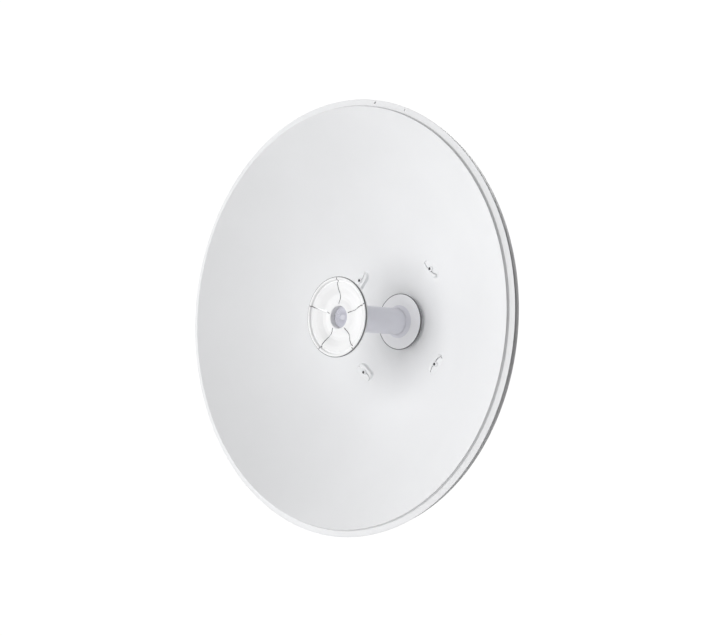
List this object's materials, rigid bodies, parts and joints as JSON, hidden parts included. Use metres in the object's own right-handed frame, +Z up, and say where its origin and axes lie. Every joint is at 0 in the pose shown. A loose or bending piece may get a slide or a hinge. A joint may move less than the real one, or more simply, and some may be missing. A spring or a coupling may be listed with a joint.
{
  "type": "outdoor wireless bridge",
  "caption": "Round parabolic dish with a central feed tube and cup, a rear housing, and a tilting steel mount that clamps to a pole.",
  "frame": {"origin": "on the axis of the pole that the clamp holds, halfway up the clamp", "axes": "+Z up along the pole, the dish faces -Y, +X to the right when seen from the front"},
  "size_m": [0.65, 0.3807, 0.65],
  "materials": {
    "reflector_paint": "white powder coat, satin",
    "feed_plastic": "white UV stable plastic, satin",
    "bracket_steel": "galvanised sheet",
    "fastener_steel": "stainless",
    "grey_plastic": "matte",
    "seal_rubber": "matte",
    "feed_aluminium": "pressed",
    "board_laminate": "solder mask",
    "level_vial": "clear"
  },
  "bodies": {
    "pole_side": {"pole_bracket": "bracket_steel", "pivot_bolt_left": "fastener_steel", "pivot_bolt_right": "fastener_steel", "pivot_nut_left": "fastener_steel", "pivot_nut_right": "fastener_steel", "lock_bolt_left": "fastener_steel", "lock_bolt_right": "fastener_steel", "lock_nut_left": "fastener_steel", "lock_nut_right": "fastener_steel", "clamp_bolt_left": "fastener_steel", "clamp_bolt_right": "fastener_steel"},
    "dish_side": {"dish_reflector": "reflector_paint", "rear_housing": "feed_plastic", "dish_bracket": "bracket_steel", "dish_bolt_1": "fastener_steel", "dish_bolt_2": "fastener_steel", "dish_bolt_3": "fastener_steel", "dish_bolt_4": "fastener_steel", "dish_nut_1": "fastener_steel", "dish_nut_2": "fastener_steel", "dish_nut_3": "fastener_steel", "dish_nut_4": "fastener_steel", "housing_screw_1": "fastener_steel", "housing_screw_2": "fastener_steel", "housing_screw_3": "fastener_steel", "housing_screw_4": "fastener_steel", "earth_screw": "fastener_steel", "cover_pin": "fastener_steel", "button_spring": "fastener_steel", "latch_guide": "fastener_steel", "level_body": "grey_plastic", "housing_seal": "seal_rubber", "level_vial": "level_vial"},
    "jaw_slide": {"clamp_jaw": "bracket_steel", "clamp_nut_left": "fastener_steel", "clamp_nut_right": "fastener_steel", "clamp_washer_left": "fastener_steel", "clamp_washer_right": "fastener_steel"},
    "feed_slide": {"feed_base": "feed_plastic", "feed_tube": "feed_plastic", "feed_cone": "feed_plastic", "subreflector_cup": "feed_plastic", "subreflector_disc": "feed_aluminium", "feed_tip": "feed_plastic", "feed_horn": "feed_aluminium", "feed_seal": "seal_rubber", "feed_end_cap": "grey_plastic", "radio_board": "board_laminate", "shield_can": "feed_aluminium", "heat_spreader": "feed_aluminium", "network_jack": "grey_plastic"},
    "button_slide": {"release_button": "grey_plastic"},
    "cover_hinge": {"port_cover": "feed_plastic"}
  },
  "joints": [
    {"name": "dish_tilt", "type": "hinge", "parent": "pole_side", "child": "dish_side", "pos_m": [0, -0.085, -0.04], "axis": [1, 0, 0], "range_deg": [-20, 20]},
    {"name": "jaw_travel", "type": "slide", "parent": "pole_side", "child": "jaw_slide", "axis": [0, 1, 0], "range_m": [0, 0.022]},
    {"name": "feed_travel", "type": "slide", "parent": "dish_side", "child": "feed_slide", "axis": [0, -1, 0], "range_m": [0, 0.06]},
    {"name": "button_press", "type": "slide", "parent": "dish_side", "child": "button_slide", "axis": [0, 0, 1], "range_m": [0, 0.003], "stiffness_N_per_m": 600, "springref_m": -0.002, "deforming": ["button_spring"]},
    {"name": "cover_swing", "type": "hinge", "parent": "dish_side", "child": "cover_hinge", "pos_m": [0, -0.096, 0.0205], "axis": [1, 0, 0], "range_deg": [0, 95]}
  ]
}
